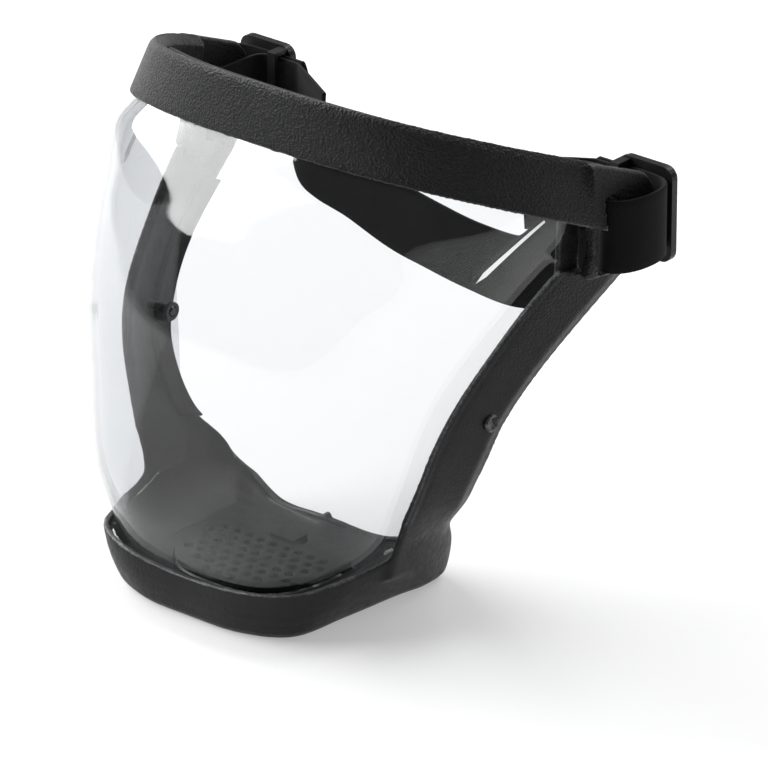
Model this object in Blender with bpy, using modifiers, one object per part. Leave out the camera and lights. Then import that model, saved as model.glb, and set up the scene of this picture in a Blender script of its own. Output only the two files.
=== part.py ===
"""Full-face shield: a one-piece moulded frame round a wrap-round clear visor.

Row frame in metres: +Z up, the wearer looks along -Y, X = 0 is the plane of symmetry, and the
floor under the chin cup is Z = 0.  Dimensions below are millimetres and are scaled on the way out.
The frame is split at its natural changes of section (brow band, two temples, two side arms, chin
cup) so that each piece is a simple solid.
"""

import math

import bmesh
import bpy
import numpy as np
from mathutils import Matrix, Vector

MM = 0.001
GAP = 0.3

# Brow band: outer edge curves are half superellipses that drop towards the temples.
BAND_TOP = dict(width=87.5, depth=93.6, power=2.31, front=-35.6, height=174.4, pitch=0.376, sag=0.0003)
BAND_LOW = dict(width=88.9, depth=71.9, power=2.36, front=-38.2, height=154.0, pitch=0.363, sag=0.0007)
BAND_END_Y = 26.0
BAND_WALL = 5.0
PAD_THICKNESS = 5.0
PAD_HALF_ANGLE = 38.0

# Temple plate: carries on the band and holds the strap's post.
TEMPLE_REAR_Y = 57.5
TEMPLE_WALL = 4.0
TEMPLE_GAP = 0.8
TEMPLE_OUTER_X = 87.5
TEMPLE_LOW = [(54.5, 107.0), (47.5, 103.6), (24.0, 109.4), (27.0, 118.0)]
STRAP_SLOT_Y = (30.0, 39.5)

# Side arm, +X side: front edge and rear edge from the cup up to the band.
ARM_FRONT = [
    (54.1, -31.0, 25.3), (60.9, -28.6, 45.3), (66.9, -25.4, 64.8), (71.6, -17.3, 80.8),
    (76.6, 1.2, 100.4), (79.9, 14.0, 111.0),
]
ARM_REAR = [
    (48.6, 4.8, 21.5), (60.1, -2.3, 33.2), (69.5, -3.0, 51.4), (73.7, 2.1, 66.2),
    (78.4, 16.9, 82.9), (83.0, 47.0, 103.0),
]
ARM_WALL = 2.4
ARM_UP = (0.2, 0.55, 0.8)
ARM_SECTION = [(0.0, 0.0), (0.3, 0.9), (0.66, 1.6), (1.0, 0.0)]
ARM_ROWS = 15
SEAL_FROM = 0.70
SEAL_TO = 0.98
SEAL_WALL = 1.6

# Visor: front centre line from the lip to the band, and how square each level is in plan.
LENS_CENTRE = [
    (-68.7, 13.5), (-73.2, 40.0), (-71.2, 66.0), (-66.8, 92.0),
    (-59.0, 117.0), (-51.5, 133.0), (-44.3, 145.5), (-37.2, 153.7),
]
LENS_END = [
    (49.2, -12.0, 24.5), (55.6, -10.0, 40.0), (62.0, -4.0, 58.0), (67.2, 1.0, 74.0),
    (72.2, 10.0, 92.0), (76.2, 22.0, 105.0), (79.5, 28.5, 116.0), (81.5, 31.0, 126.0),
]
LENS_POWER = [3.0, 3.6, 3.4, 3.45, 3.5, 3.5, 3.5, 2.8]
LENS_WALL = 1.4
LENS_INSET = 1.0
LENS_HEAD_DROP = 0.9
LENS_HEAD_TUCK = 6.3
LENS_HEAD_END_Y = 31.0
LENS_FOOT_TUCK = 3.4
LENS_ROWS = 17
LENS_COLUMNS = 32

# Chin cup: half outlines from the front centre round the +X side to the rear centre.
CUP_FLOOR = [
    (0.0, -70.2), (21.0, -68.8), (36.5, -59.5), (40.0, -38.0),
    (42.5, -15.0), (44.5, -3.0), (41.5, 7.5), (24.0, 8.0), (0.0, 4.0),
]
CUP_TOP = [
    (0.0, -71.5, 15.0), (25.0, -70.6, 16.6), (41.0, -64.2, 18.4), (47.2, -51.3, 19.6),
    (51.2, -38.5, 21.6), (54.6, -27.0, 23.6), (54.6, -12.0, 22.3), (49.0, 4.5, 19.4),
    (40.0, 6.5, 15.0), (22.0, 2.0, 9.6), (0.0, -0.4, 11.0),
]
CUP_RIM = 2.0
CUP_LEDGE = 1.8
CUP_RING = 56
TRAY_Z = 8.4
TRAY_HALF_WIDTH = 33.0
TRAY_FRONT_Y = -62.0
TRAY_REAR_Y = -8.0

# Filter chamber in the cup floor, and what lies in it.
VENT_HALF_WIDTH = 28.0
VENT_REAR_Y = -25.0
VENT_FRONT_Y = -58.5
VENT_FLOOR_Z = 2.2
GRILLE_THICKNESS = 2.0
GRILLE_TOP_Z = 10.4
GRILLE_HOLE_RADIUS = 1.9
GRILLE_HOLE_PITCH = 5.2
FILTER_THICKNESS = 3.6
VENT_HOLE_RADIUS = 1.6
VENT_HOLE_PITCH = 8.0

# Visor rivets.
RIVET_ARM_ROW = 0.565
RIVET_AT = 0.64
RIVET_HEAD_RADIUS = 3.2
RIVET_SHANK_RADIUS = 1.5
RIVET_HOLE_RADIUS = 1.9
RIVET_SEAT_DEPTH = 0.9
RIVET_GRIP = 11.3

# Head strap: elastic webbing looped round a post at each temple.
WEB_WIDTH = 25.0
WEB_THICKNESS = 1.5
WEB_MID_Z = 122.4
WEB_LOOP = [
    (62.8, 61.0), (84.0, 61.0), (91.0, 58.5), (93.6, 52.5), (93.4, 44.0), (90.8, 37.5),
    (86.5, 34.6), (82.0, 36.5), (79.6, 42.0), (79.4, 51.0), (78.4, 56.5), (74.5, 58.9), (62.8, 58.9),
]
WEB_RUN = [
    (62.3, 61.0, 122.4, 0), (55.5, 60.3, 111.0, -30), (46.0, 57.5, 95.5, -30), (35.8, 55.0, 89.0, -8),
    (19.6, 50.0, 91.8, 12), (2.0, 48.0, 95.6, 22), (-12.8, 48.0, 98.5, 27), (-30.0, 48.5, 104.0, 27),
    (-46.0, 51.5, 107.0, 31), (-55.5, 56.8, 110.5, 26), (-60.4, 60.0, 117.0, 5), (-62.3, 61.0, 122.4, 0),
]
WEB_TAIL_LENGTH = 12.0
WEB_TAIL_DROP = 6.0
WEB_TAIL_LEAN = 7.0
WEB_TAIL_TILT = 20.0
BUCKLE_X = (69.0, 91.0)
BUCKLE_MID_Z = 121.0
BUCKLE_HEIGHT = 33.0
BUCKLE_PLATE_Y = (62.4, 65.1)
BUCKLE_BAR_Y = (56.1, 57.7)
BUCKLE_BAR_X = (70.6, 74.0)
BUCKLE_RAIL = 1.6
BUCKLE_CORNER = 4.0


def smooth(points, count):
    """Evenly spaced parameters on a Catmull-Rom curve through the points."""
    pts = np.asarray(points, float)
    if pts.ndim == 1:
        pts = pts[:, None]
    padded = np.vstack([2 * pts[0] - pts[1], pts, 2 * pts[-1] - pts[-2]])
    out = []
    for value in np.linspace(0, len(pts) - 1, count):
        i = min(int(value), len(pts) - 2)
        t = value - i
        a, b, c, d = padded[i:i + 4]
        cubic = 3 * b - a - 3 * c + d
        out.append(0.5 * (2 * b + (c - a) * t + (2 * a - 5 * b + 4 * c - d) * t**2 + cubic * t**3))
    return np.array(out)


def superellipse(width, depth, power, angle):
    """Half superellipse in plan: x across, and how far behind the front the point is."""
    s, c = math.sin(angle), math.cos(angle)
    x = width * math.copysign(abs(s) ** (2 / power), s)
    return x, depth * (1 - abs(c) ** (2 / power))


def band_edge(edge, angle, inset=0.0, lift=0.0):
    x, back = superellipse(edge["width"] - inset, edge["depth"] - inset, edge["power"], angle)
    y = edge["front"] + inset + back
    z = edge["height"] + lift - edge["pitch"] * back - edge["sag"] * back**2
    return x, y, z


def band_end_angle(edge, y):
    """Angle at which the band's edge curve reaches this Y."""
    part = (y - edge["front"]) / edge["depth"]
    return math.acos((1 - part) ** (edge["power"] / 2))


def band_height_at(edge, y):
    back = y - edge["front"]
    return edge["height"] - edge["pitch"] * back - edge["sag"] * back**2


def mirrored(points):
    return [(-p[0], *p[1:]) for p in points]


def make_material(name, color, roughness, alpha=1.0, transmission=0.0):
    material = bpy.data.materials.new(name)
    material.use_nodes = True
    shader = material.node_tree.nodes["Principled BSDF"]
    shader.inputs["Base Color"].default_value = (*color, 1.0)
    shader.inputs["Roughness"].default_value = roughness
    shader.inputs["Alpha"].default_value = alpha
    shader.inputs["Transmission Weight"].default_value = transmission
    return material


def new_object(name, mesh, material=None, collection=None):
    obj = bpy.data.objects.new(name, mesh)
    (collection or parts).objects.link(obj)
    if material:
        mesh.materials.append(material)
    return obj


def mesh_from(name, points, faces):
    mesh = bpy.data.meshes.new(name)
    mesh.from_pydata([tuple(MM * c for c in p) for p in points], [], faces)
    mesh.update()
    return mesh


def shade(obj, degrees=35):
    obj.data.shade_smooth()
    obj.data.set_sharp_from_angle(angle=math.radians(degrees))


def sheet(rows):
    """Points and faces of an open surface through rows of points."""
    columns = len(rows[0])
    points = [p for row in rows for p in row]
    faces = []
    for r in range(len(rows) - 1):
        for c in range(columns - 1):
            a = r * columns + c
            faces.append((a, a + 1, a + columns + 1, a + columns))
    return points, faces


def shell(name, rows, wall, material, outward, bevel=0.0):
    """Open surface given a wall on its inner side.  outward is a point that the faces look towards."""
    points, faces = sheet(rows)
    middle = np.array(rows[len(rows) // 2][len(rows[0]) // 2])
    a, b, c = (np.array(points[i]) for i in faces[len(faces) // 2][:3])
    if np.dot(np.cross(b - a, c - a), np.array(outward) - middle) < 0:
        faces = [face[::-1] for face in faces]
    obj = new_object(name, mesh_from(name, points, faces), material)
    solid = obj.modifiers.new("Wall", "SOLIDIFY")
    solid.thickness = wall * MM
    solid.offset = -1
    solid.use_even_offset = True
    if bevel:
        edge = obj.modifiers.new("Edge", "BEVEL")
        edge.width = bevel * MM
        edge.segments = 2
        edge.limit_method = "ANGLE"
        edge.angle_limit = math.radians(50)
    shade(obj)
    return obj


def prism(name, outline, low, high, material=None, collection=None, bevel=0.0):
    """Flat outline in plan, drawn up from low to high."""
    bm = bmesh.new()
    base = [bm.verts.new((x * MM, y * MM, low * MM)) for x, y in outline]
    face = bm.faces.new(base)
    if face.normal.z > 0 or polygon_area(outline) > 0:
        face.normal_flip()
    grown = bmesh.ops.extrude_face_region(bm, geom=[face])
    raised = [v for v in grown["geom"] if isinstance(v, bmesh.types.BMVert)]
    bmesh.ops.translate(bm, verts=raised, vec=(0, 0, (high - low) * MM))
    bmesh.ops.recalc_face_normals(bm, faces=bm.faces)
    mesh = bpy.data.meshes.new(name)
    bm.to_mesh(mesh)
    bm.free()
    obj = new_object(name, mesh, material, collection)
    if bevel:
        edge = obj.modifiers.new("Edge", "BEVEL")
        edge.width = bevel * MM
        edge.segments = 2
        edge.limit_method = "ANGLE"
        edge.angle_limit = math.radians(50)
    return obj


def polygon_area(outline):
    pts = np.array(outline)
    nxt = np.roll(pts, -1, axis=0)
    return 0.5 * float(np.sum(pts[:, 0] * nxt[:, 1] - nxt[:, 0] * pts[:, 1]))


def cylinder(name, start, end, radius, material=None, collection=None, sides=14):
    """Round bar between two points."""
    a, b = np.array(start, float), np.array(end, float)
    bm = bmesh.new()
    bmesh.ops.create_cone(
        bm, cap_ends=True, segments=sides, radius1=radius * MM, radius2=radius * MM,
        depth=float(np.linalg.norm(b - a)) * MM,
    )
    mesh = bpy.data.meshes.new(name)
    bm.to_mesh(mesh)
    bm.free()
    obj = new_object(name, mesh, material, collection)
    obj.rotation_euler = Vector(b - a).to_track_quat("Z", "Y").to_euler()
    obj.location = [float(c) * MM for c in (a + b) / 2]
    return obj


def helper(obj):
    obj.hide_render = True
    obj.display_type = "WIRE"
    return obj


def cut(obj, cutter, operation="DIFFERENCE"):
    boolean = obj.modifiers.new("Cut", "BOOLEAN")
    boolean.operation = operation
    boolean.object = helper(cutter)
    return boolean


def box(name, low, high, material=None, collection=None):
    bm = bmesh.new()
    bmesh.ops.create_cube(bm, size=1.0)
    size = [(b - a) * MM for a, b in zip(low, high)]
    bmesh.ops.scale(bm, vec=size, verts=bm.verts)
    mesh = bpy.data.meshes.new(name)
    bm.to_mesh(mesh)
    bm.free()
    obj = new_object(name, mesh, material, collection)
    obj.location = [(a + b) * 0.5 * MM for a, b in zip(low, high)]
    return obj


def stand(outline, low, high, name, material=None, collection=None, bevel=0.0):
    """Outline in side view (Y, Z), drawn across from X = low to X = high."""
    obj = prism(name, outline, low, high, material, collection, bevel)
    for vertex in obj.data.vertices:
        y, z, x = vertex.co
        vertex.co = (x, y, z)
    obj.data.update()
    return obj


def rounded_rectangle(low, high, radius, steps=5):
    """Outline, anticlockwise, of a rectangle with round corners."""
    (x0, y0), (x1, y1) = low, high
    corners = [(x1 - radius, y0 + radius, -90), (x1 - radius, y1 - radius, 0),
               (x0 + radius, y1 - radius, 90), (x0 + radius, y0 + radius, 180)]
    outline = []
    for cx, cy, start in corners:
        for k in range(steps + 1):
            angle = math.radians(start + 90 * k / steps)
            outline.append((cx + radius * math.cos(angle), cy + radius * math.sin(angle)))
    return outline


def build_band(material):
    ends = band_end_angle(BAND_TOP, BAND_END_Y), band_end_angle(BAND_LOW, BAND_END_Y)
    rows = []
    for level in (0.0, 1.0):
        row = []
        for part in np.linspace(-1, 1, 41):
            top = np.array(band_edge(BAND_TOP, part * ends[0]))
            low = np.array(band_edge(BAND_LOW, part * ends[1]))
            row.append(top + (low - top) * level)
        rows.append(row)
    return shell("brow_band", rows, BAND_WALL, material, (0, -500, 160), bevel=0.8)


def build_pad(material):
    """Soft brow cushion stuck inside the band, above the visor's top edge."""
    inset = BAND_WALL + GAP
    half = math.radians(PAD_HALF_ANGLE)
    rows = []
    for level in (0.1, 0.6):
        row = []
        for angle in np.linspace(-half, half, 19):
            top = np.array(band_edge(BAND_TOP, angle, inset))
            low = np.array(band_edge(BAND_LOW, angle, inset))
            row.append(top + (low - top) * level)
        rows.append(row)
    return shell("brow_pad", rows, PAD_THICKNESS, material, (0, -500, 160), bevel=1.2)


def arm_point(front, rear, part, out):
    """Point part of the way across the arm from front edge to rear edge, moved out from its face."""
    across = rear - front
    normal = np.cross(ARM_UP, across)
    normal *= math.copysign(1.0, normal[0]) / np.linalg.norm(normal)
    return front + across * part + normal * out


def arm_rows(section, sign):
    """Rows up the arm, each through the section's points (part across, height above the face)."""
    rows = []
    for front, rear in zip(smooth(ARM_FRONT, ARM_ROWS), smooth(ARM_REAR, ARM_ROWS)):
        points = [arm_point(front, rear, part, out) for part, out in section]
        rows.append([(sign * x, y, z) for x, y, z in points])
    return rows


def build_arm(side, sign, material):
    rows = arm_rows(ARM_SECTION, sign)
    arm = shell(f"side_arm_{side}", rows, ARM_WALL, material, (sign * 500, 0, 60), bevel=0.5)
    outer, inner = rivet_line(sign)
    centre = rivet_centre(sign)
    cut(arm, cylinder(f"side_arm_{side}_hole", outer, inner, RIVET_HOLE_RADIUS, collection=cutters))
    seat = centre - np.array([sign * RIVET_SEAT_DEPTH, 0, 0])
    cut(arm, cylinder(f"side_arm_{side}_seat", outer, seat, RIVET_HEAD_RADIUS + 0.4, collection=cutters))
    return arm


def build_seal(side, sign, material):
    """Soft lip inside the arm's rear edge, which turns in to the cheek behind the visor."""
    under = -ARM_WALL - GAP
    section = [(SEAL_FROM, under + 1.0), (0.86, under + 0.4), (SEAL_TO, under - 0.6)]
    rows = arm_rows(section, sign)[2:-1]
    return shell(f"face_seal_{side}", rows, SEAL_WALL, material, (sign * 500, 0, 60), bevel=0.4)


def build_temple(side, sign, material):
    start = BAND_END_Y + TEMPLE_GAP
    top = [(y, band_height_at(BAND_TOP, y)) for y in (start, TEMPLE_REAR_Y - 4.0)]
    rear = [(TEMPLE_REAR_Y, band_height_at(BAND_TOP, TEMPLE_REAR_Y) - 3.0), (TEMPLE_REAR_Y, 114.0)]
    front = [(start, band_height_at(BAND_LOW, BAND_END_Y) - TEMPLE_GAP)]
    outline = top + rear + TEMPLE_LOW + front
    inner, outer = TEMPLE_OUTER_X - TEMPLE_WALL, TEMPLE_OUTER_X
    low, high = sorted((sign * inner, sign * outer))
    temple = stand(outline, low, high, f"temple_{side}", material)
    slot_z = WEB_MID_Z - WEB_WIDTH / 2 - 0.8, WEB_MID_Z + WEB_WIDTH / 2 + 0.8
    slot = rounded_rectangle((STRAP_SLOT_Y[0], slot_z[0]), (STRAP_SLOT_Y[1], slot_z[1]), 2.0)
    cut(temple, stand(slot, low - 5, high + 5, f"temple_{side}_slot", collection=cutters))
    edge = temple.modifiers.new("Edge", "BEVEL")
    edge.width = 0.8 * MM
    edge.segments = 2
    edge.limit_method = "ANGLE"
    edge.angle_limit = math.radians(50)
    shade(temple)
    return temple


def lens_foot():
    """Visor's lower edge: stands on the ledge inside the cup's rim, and tucks in behind the arms."""
    ring = closed_outline(CUP_TOP)
    close = inset_ring(ring, CUP_RIM + GAP, CUP_LEDGE - 0.6)
    tucked = inset_ring(ring, CUP_RIM + LENS_FOOT_TUCK, CUP_LEDGE - 1.4)
    half = []
    for k in range(LENS_COLUMNS // 2 + 1):
        part = min(max((ring[k][1] + 60.0) / 28.0, 0.0), 1.0)
        half.append(tuple(close[k] + (tucked[k] - close[k]) * part))
    return mirrored(half)[:0:-1] + half


def lens_head():
    """Visor's upper edge: just under the band's lower edge, and stepping in behind the temples."""
    stop = band_end_angle(BAND_LOW, LENS_HEAD_END_Y)
    row = []
    for angle in np.linspace(-stop, stop, LENS_COLUMNS + 1):
        y = band_edge(BAND_LOW, angle)[1]
        part = min(max((y + 24.0) / 44.0, 0.0), 1.0)
        x, y, _ = band_edge(BAND_LOW, angle, LENS_INSET + LENS_HEAD_TUCK * part)
        row.append((x, y, band_height_at(BAND_LOW, y) - LENS_HEAD_DROP))
    return row


def lens_surface():
    """Outer surface of the visor, row by row from the lip up to the band."""
    centre = smooth(LENS_CENTRE, LENS_ROWS)
    end = smooth(LENS_END, LENS_ROWS)
    power = smooth(LENS_POWER, LENS_ROWS)[:, 0]
    rows = [lens_foot()]
    for (cy, cz), (ex, ey, ez), n in list(zip(centre, end, power))[1:-1]:
        row = []
        for angle in np.linspace(-math.pi / 2, math.pi / 2, LENS_COLUMNS + 1):
            x, back = superellipse(ex, ey - cy, n, angle)
            row.append((x, cy + back, cz + (ez - cz) * back / (ey - cy)))
        rows.append(row)
    return rows + [lens_head()]


def build_lens(material):
    lens = shell("visor_lens", lens_surface(), LENS_WALL, material, (0, -500, 80))
    for side, sign in SIDES:
        outer, inner = rivet_line(sign)
        cut(lens, cylinder(f"visor_lens_hole_{side}", outer, inner, RIVET_HOLE_RADIUS, collection=cutters))
    return lens


def rivet_line(sign):
    """Points well outside and inside the arm on one rivet's axis."""
    centre = rivet_centre(sign)
    return centre + np.array([sign * 12.0, 0, 0]), centre - np.array([sign * 18.0, 0, 0])


def rivet_centre(sign):
    front, rear = smooth(ARM_FRONT, 101), smooth(ARM_REAR, 101)
    k = round(RIVET_ARM_ROW * 100)
    p = front[k] + (rear[k] - front[k]) * RIVET_AT
    return np.array([sign * (p[0] + 1.3), p[1], p[2]])


def build_rivet(side, sign, material, washer_material):
    centre = rivet_centre(sign)
    across = np.array([sign, 0.0, 0.0])
    front, back = centre - across * 0.5, centre + across * 1.1
    head = cylinder(f"lens_rivet_{side}", front, back, RIVET_HEAD_RADIUS, material)
    shank = cylinder(
        f"lens_rivet_{side}_shank", centre + across * 0.5, centre - across * (RIVET_GRIP + 1.6),
        RIVET_SHANK_RADIUS, collection=cutters
    )
    cut(head, shank, "UNION")
    shade(head)
    washer = cylinder(
        f"rivet_washer_{side}", centre - across * RIVET_GRIP, centre - across * (RIVET_GRIP + 1.2),
        RIVET_HEAD_RADIUS, washer_material
    )
    hole_end = centre - across * 18
    hole = cylinder(f"rivet_washer_{side}_hole", centre, hole_end, RIVET_HOLE_RADIUS, collection=cutters)
    cut(washer, hole)
    shade(washer)
    return head


def closed_outline(half):
    """Smooth closed outline through a half outline and its mirror, as a ring of points."""
    half = [tuple(p) for p in half]
    full = half + mirrored(half)[-2:0:-1]
    pts = np.array(full, float)
    count = len(pts)
    ring = []
    for value in np.linspace(0, count, CUP_RING, endpoint=False):
        i = int(value)
        t = value - i
        a, b, c, d = (pts[(i + k) % count] for k in (-1, 0, 1, 2))
        cubic = 3 * b - a - 3 * c + d
        ring.append(0.5 * (2 * b + (c - a) * t + (2 * a - 5 * b + 4 * c - d) * t**2 + cubic * t**3))
    return np.array(ring)


def inset_ring(ring, amount, drop=0.0):
    """Ring moved in towards its middle, square to its own edge in plan."""
    after, before = np.roll(ring, -1, axis=0), np.roll(ring, 1, axis=0)
    tangent = (after - before)[:, :2]
    tangent /= np.linalg.norm(tangent, axis=1)[:, None]
    out = ring.copy()
    out[:, 0] -= amount * tangent[:, 1]
    out[:, 1] += amount * tangent[:, 0]
    out[:, 2] -= drop
    return out


def cup_rings():
    floor = closed_outline([(x, y, 0.0) for x, y in CUP_FLOOR])
    top = closed_outline(CUP_TOP)
    belly = floor + (top - floor) * 0.45
    belly[:, :2] += (belly - inset_ring(belly, 1.2))[:, :2]
    ledge = inset_ring(top, CUP_RIM, CUP_LEDGE)
    ledge[:, 2] = np.maximum(ledge[:, 2], TRAY_Z + 0.2)
    tray = ledge.copy()
    tray[:, 0] = np.clip(ledge[:, 0] * 0.72, -TRAY_HALF_WIDTH, TRAY_HALF_WIDTH)
    tray[:, 1] = np.clip(ledge[:, 1], TRAY_FRONT_Y, TRAY_REAR_Y)
    tray[:, 2] = TRAY_Z
    slope = ledge + (tray - ledge) * 0.55
    slope[:, 2] = TRAY_Z + (ledge[:, 2] - TRAY_Z) * 0.22
    base, rim = inset_ring(floor, 1.6), inset_ring(top, CUP_RIM)
    return [base, floor + [0, 0, 1.4], belly, top, rim, ledge, slope, tray]


def build_cup(material):
    rings = cup_rings()
    points = [tuple(p) for ring in rings for p in ring]
    faces = []
    for level in range(len(rings) - 1):
        for k in range(CUP_RING):
            a, b = level * CUP_RING + k, level * CUP_RING + (k + 1) % CUP_RING
            faces.append((a, b, b + CUP_RING, a + CUP_RING))
    faces.append(tuple(range(CUP_RING))[::-1])
    faces.append(tuple(range((len(rings) - 1) * CUP_RING, len(rings) * CUP_RING)))
    cup = new_object("chin_cup", mesh_from("chin_cup", points, faces), material)
    make_outward(cup)
    cut(cup, prism("chin_cup_chamber", chamber_outline(GAP), VENT_FLOOR_Z, 40, collection=cutters))
    cut(cup, vent_holes())
    shade(cup)
    return cup


def make_outward(obj):
    bm = bmesh.new()
    bm.from_mesh(obj.data)
    bmesh.ops.recalc_face_normals(bm, faces=bm.faces)
    bm.to_mesh(obj.data)
    bm.free()


def chamber_outline(grow=0.0, steps=24):
    """D shape: straight at the rear, and a half superellipse towards the front."""
    half = VENT_HALF_WIDTH + grow
    depth = VENT_REAR_Y - VENT_FRONT_Y + grow
    outline = []
    for k in range(steps + 1):
        angle = math.radians(-90 + 180 * k / steps)
        x, back = superellipse(half, depth, 2.9, angle)
        outline.append((x, VENT_FRONT_Y - grow + back))
    outline += [(half, VENT_REAR_Y + grow + 4.0), (-half, VENT_REAR_Y + grow + 4.0)]
    return outline


def hole_grid(pitch, margin):
    """Staggered grid of centres that keep a margin to the chamber's edge."""
    outline = np.array(chamber_outline(-margin))
    centres = []
    row_step = pitch * math.sqrt(3) / 2
    rows = int((VENT_REAR_Y + 4.0 - VENT_FRONT_Y) / row_step)
    for r in range(rows):
        y = VENT_FRONT_Y + margin + 0.6 + r * row_step
        if y > VENT_REAR_Y + 4.0 - margin:
            break
        for c in range(-7, 8):
            x = (c + 0.5 * (r % 2)) * pitch
            if inside(outline, x, y):
                centres.append((x, y))
    return centres


def inside(outline, x, y):
    result = False
    for (x0, y0), (x1, y1) in zip(outline, np.roll(outline, -1, axis=0)):
        if (y0 > y) != (y1 > y) and x < (x1 - x0) * (y - y0) / (y1 - y0) + x0:
            result = not result
    return result


def hole_set(name, centres, radius, low, high, sides):
    """One mesh of separate upright bars, which cuts a set of holes."""
    bm = bmesh.new()
    for x, y in centres:
        place = Matrix.Translation((x * MM, y * MM, (low + high) / 2 * MM))
        bmesh.ops.create_cone(
            bm, cap_ends=True, segments=sides, radius1=radius * MM, radius2=radius * MM,
            depth=(high - low) * MM, matrix=place,
        )
    mesh = bpy.data.meshes.new(name)
    bm.to_mesh(mesh)
    bm.free()
    return new_object(name, mesh, collection=cutters)


def vent_holes():
    centres = hole_grid(VENT_HOLE_PITCH, 4.5)
    return hole_set("chin_cup_vents", centres, VENT_HOLE_RADIUS, -3, VENT_FLOOR_Z + 3, 8)


def build_filter(material):
    low = VENT_FLOOR_Z + GAP
    pad = prism("filter_pad", chamber_outline(-0.8), low, low + FILTER_THICKNESS, material, bevel=0.8)
    shade(pad)
    return pad


def build_grille(material):
    """Perforated cover with a finger tab, which hooks in at the front and lifts at the rear."""
    outline = chamber_outline(-GAP)
    low = GRILLE_TOP_Z - GRILLE_THICKNESS
    grille = prism("vent_grille", outline, low, GRILLE_TOP_Z, material)
    tab_low, tab_top = TRAY_Z + 0.4, GRILLE_TOP_Z + 1.2
    tab = box("vent_grille_tab", (-5, VENT_REAR_Y + 1.5, tab_low), (5, VENT_REAR_Y + 8.5, tab_top),
              collection=cutters)
    cut(grille, tab, "UNION")
    cut(grille, hole_set(
        "vent_grille_holes", hole_grid(GRILLE_HOLE_PITCH, 3.4), GRILLE_HOLE_RADIUS, low - 2,
        GRILLE_TOP_Z + 3, 6))
    place_origin(grille, (0, VENT_FRONT_Y + 1.5, low + 1.0))
    shade(grille)
    return grille


def place_origin(obj, point):
    """Moves the object's origin to a joint's axis without moving its shape."""
    target = Vector([c * MM for c in point])
    obj.data.transform(Matrix.Translation(obj.location - target))
    obj.location = target


def ribbon(name, path, width, wall, material, outward):
    """Webbing along a path of (point, width direction)."""
    rows = [[tuple(p + d * width / 2) for p, d in path], [tuple(p - d * width / 2) for p, d in path]]
    obj = shell(name, rows, wall, material, outward)
    obj.modifiers["Wall"].offset = 0
    return obj


def build_loop(side, sign, material):
    upright = np.array([0.0, 0.0, 1.0])
    path = [(np.array([sign * x, y, WEB_MID_Z]), upright) for x, y in smooth(WEB_LOOP, 43)]
    return ribbon(f"strap_loop_{side}", path, WEB_WIDTH, WEB_THICKNESS, material, (sign * 500, 40, 120))


def build_run(material):
    path = []
    for x, y, z, tilt in smooth(WEB_RUN, 41):
        angle = math.radians(tilt)
        path.append((np.array([x, y, z]), np.array([math.sin(angle), 0, math.cos(angle)])))
    return ribbon("rear_strap", path, WEB_WIDTH, WEB_THICKNESS, material, (0, 500, 100))


def build_tail(side, sign, material):
    """Free end of the webbing, just past the buckle."""
    x0 = WEB_LOOP[-1][0] - 0.5
    y = WEB_LOOP[-1][1] - 0.4
    path = []
    for part in np.linspace(0, 1, 5):
        angle = -sign * math.radians(WEB_TAIL_TILT * part)
        along, drop = WEB_TAIL_LENGTH * part, WEB_TAIL_DROP * part**1.5
        point = np.array([sign * (x0 - along), y - WEB_TAIL_LEAN * part, WEB_MID_Z - drop])
        path.append((point, np.array([math.sin(angle), 0, math.cos(angle)])))
    return ribbon(f"strap_tail_{side}", path, WEB_WIDTH, WEB_THICKNESS, material, (0, -500, 120))


def build_buckle(side, sign, material):
    """Slide: a ring plate behind the webbing and a bar in front of it, joined above and below."""
    half = BUCKLE_HEIGHT / 2
    x0, x1 = sorted((sign * BUCKLE_X[0], sign * BUCKLE_X[1]))
    frame = rounded_rectangle((x0, BUCKLE_MID_Z - half), (x1, BUCKLE_MID_Z + half), BUCKLE_CORNER)
    window = rounded_rectangle((x0 + 4, BUCKLE_MID_Z - half + 4.5), (x1 - 4, BUCKLE_MID_Z + half - 4.5), 1.5)
    name = f"slide_buckle_{side}"
    plate = face_plate(name, frame, BUCKLE_PLATE_Y, material)
    window_y = BUCKLE_PLATE_Y[0] - 3, BUCKLE_PLATE_Y[1] + 3
    cut(plate, face_plate(f"{name}_window", window, window_y, None, cutters))
    bx0, bx1 = sorted((sign * BUCKLE_BAR_X[0], sign * BUCKLE_BAR_X[1]))
    bar = box(f"{name}_bar", (bx0, BUCKLE_BAR_Y[0], BUCKLE_MID_Z - half + 0.6),
              (bx1, BUCKLE_BAR_Y[1], BUCKLE_MID_Z + half - 0.6), collection=cutters)
    cut(plate, bar, "UNION")
    for end in (-1, 1):
        edge = BUCKLE_MID_Z + end * (half - 0.6)
        low, high = sorted((edge, edge - end * BUCKLE_RAIL))
        level = "low" if end < 0 else "high"
        bridge = box(f"{name}_bridge_{level}", (bx0 - 0.01, BUCKLE_BAR_Y[0] + 0.2, low),
                     (bx1 + 0.01, BUCKLE_PLATE_Y[1] - 0.4, high), collection=cutters)
        cut(plate, bridge, "UNION")
    shade(plate)
    return plate


def face_plate(name, outline, depth, material=None, collection=None):
    """Outline in front view (X, Z), drawn from the first Y to the second."""
    obj = prism(name, outline, depth[0], depth[1], material, collection)
    for vertex in obj.data.vertices:
        x, z, y = vertex.co
        vertex.co = (x, y, z)
    obj.data.flip_normals()
    obj.data.update()
    return obj


SIDES = (("left", -1), ("right", 1))

for old in list(bpy.data.objects):
    bpy.data.objects.remove(old)

parts = bpy.data.collections.new("face_shield")
cutters = bpy.data.collections.new("cutters")
bpy.context.scene.collection.children.link(parts)
bpy.context.scene.collection.children.link(cutters)

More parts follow.
